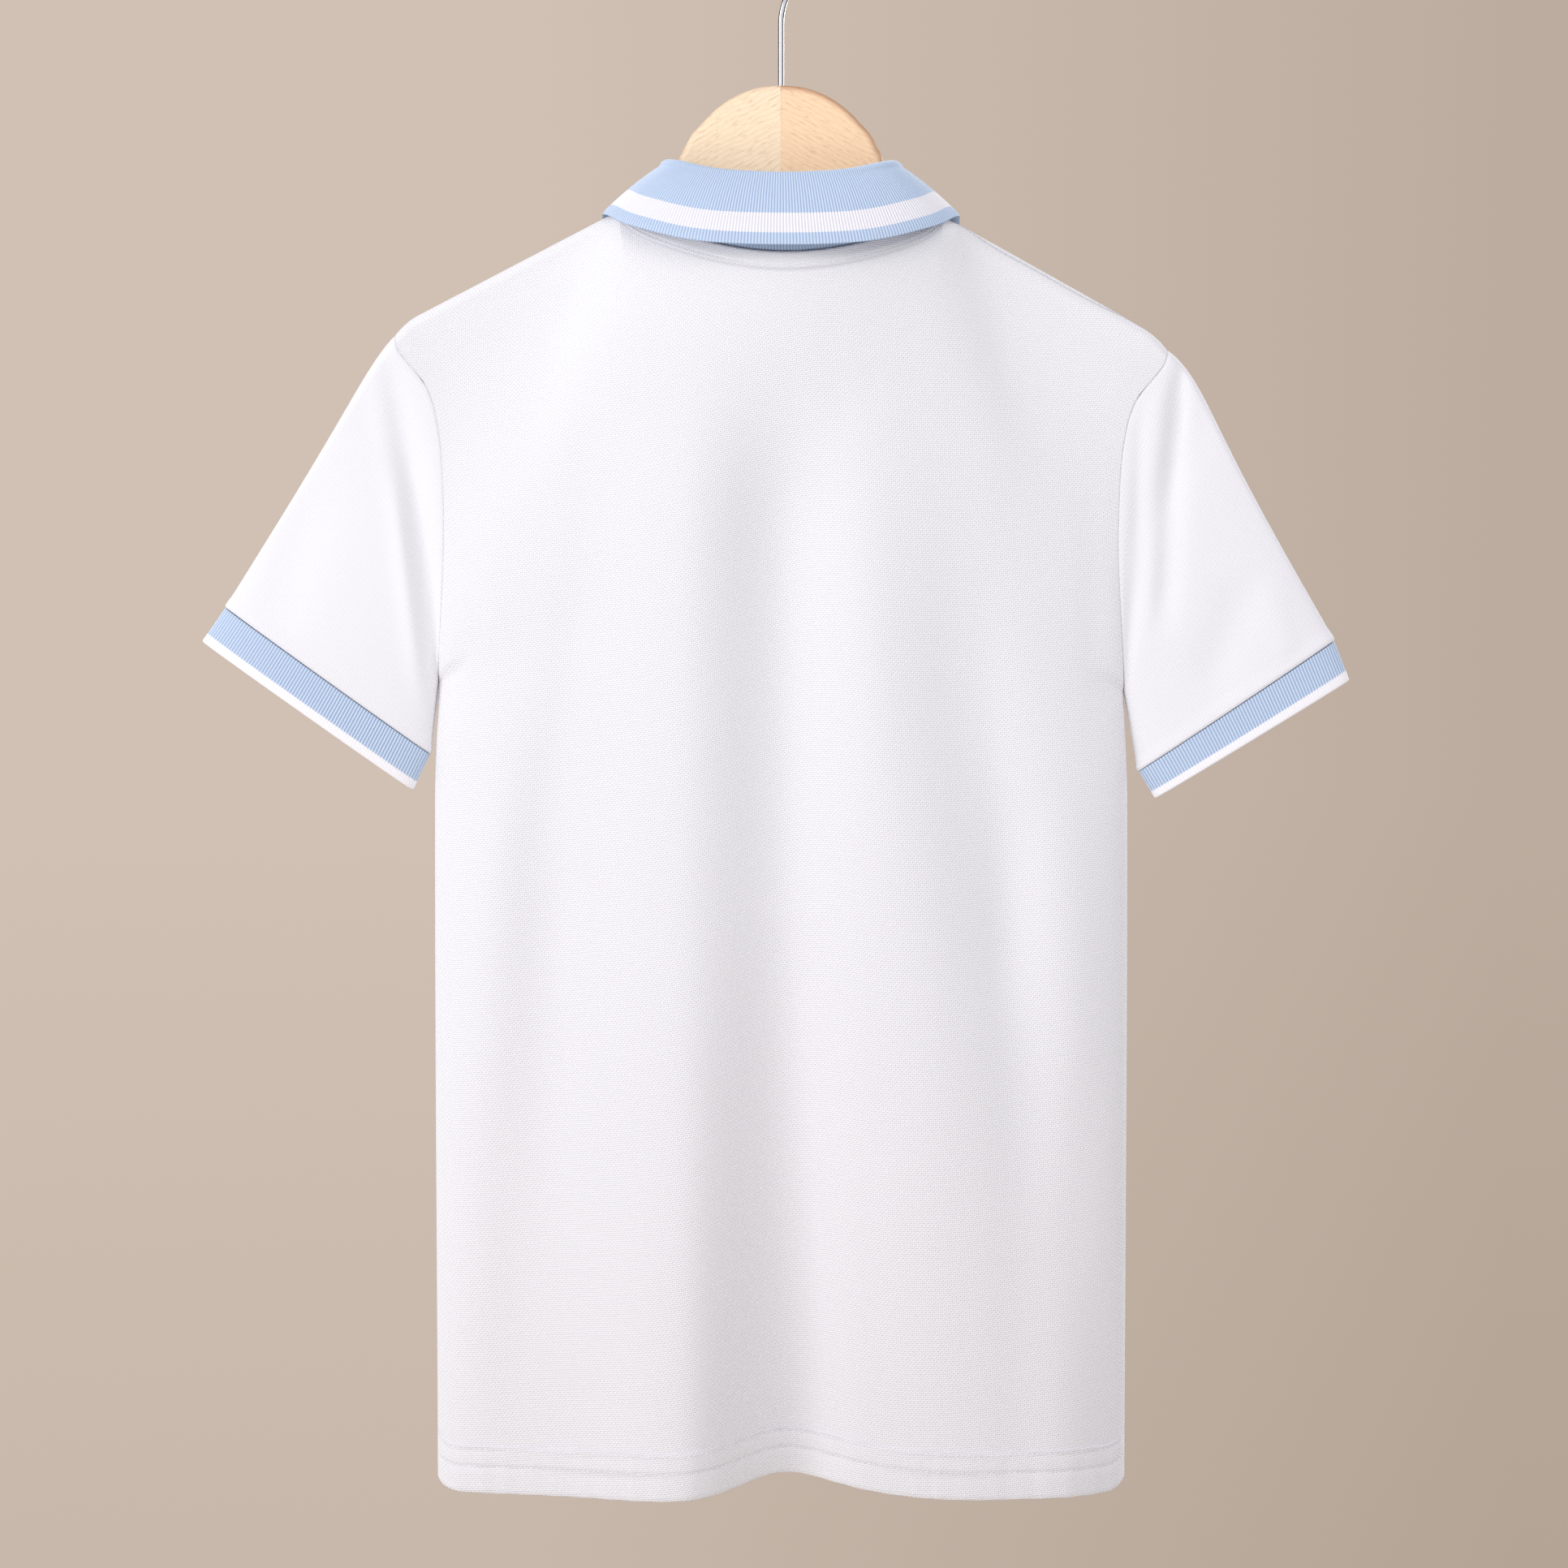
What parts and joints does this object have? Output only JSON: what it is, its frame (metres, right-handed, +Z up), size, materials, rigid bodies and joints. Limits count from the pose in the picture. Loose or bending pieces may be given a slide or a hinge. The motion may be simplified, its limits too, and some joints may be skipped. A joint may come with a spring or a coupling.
{
  "type": "polo shirt on a clothes hanger",
  "caption": "Short-sleeved pique polo shirt with striped rib collar and cuffs, hung flat on a flat wooden hanger with a round wire hook.",
  "frame": {"origin": "inside top of the hanger's hook, where a rail carries it", "axes": "+Z up, +Y out of the shirt's back, -Y out of its front with the placket, +X to the wearer's left"},
  "size_m": [0.5931, 0.0963, 0.819],
  "materials": {
    "white_cloth": "matt white cotton pique knit",
    "blue_rib": "pale blue one by one cotton rib with a white stripe",
    "button_shell": "white pearl",
    "pale_wood": "clear satin lacquer on beech",
    "bright_steel": "polished"
  },
  "bodies": {
    "root": {"back_panel": "white_cloth", "front_panel": "white_cloth", "placket_under": "white_cloth", "placket_upper": "white_cloth", "sleeve_left": "white_cloth", "sleeve_right": "white_cloth", "cuff_left": "blue_rib", "cuff_right": "blue_rib", "collar": "blue_rib", "button_1": "button_shell", "button_2": "button_shell", "hanger_half_left": "pale_wood", "hanger_half_right": "pale_wood", "hanger_hook": "bright_steel"}
  },
  "joints": []
}
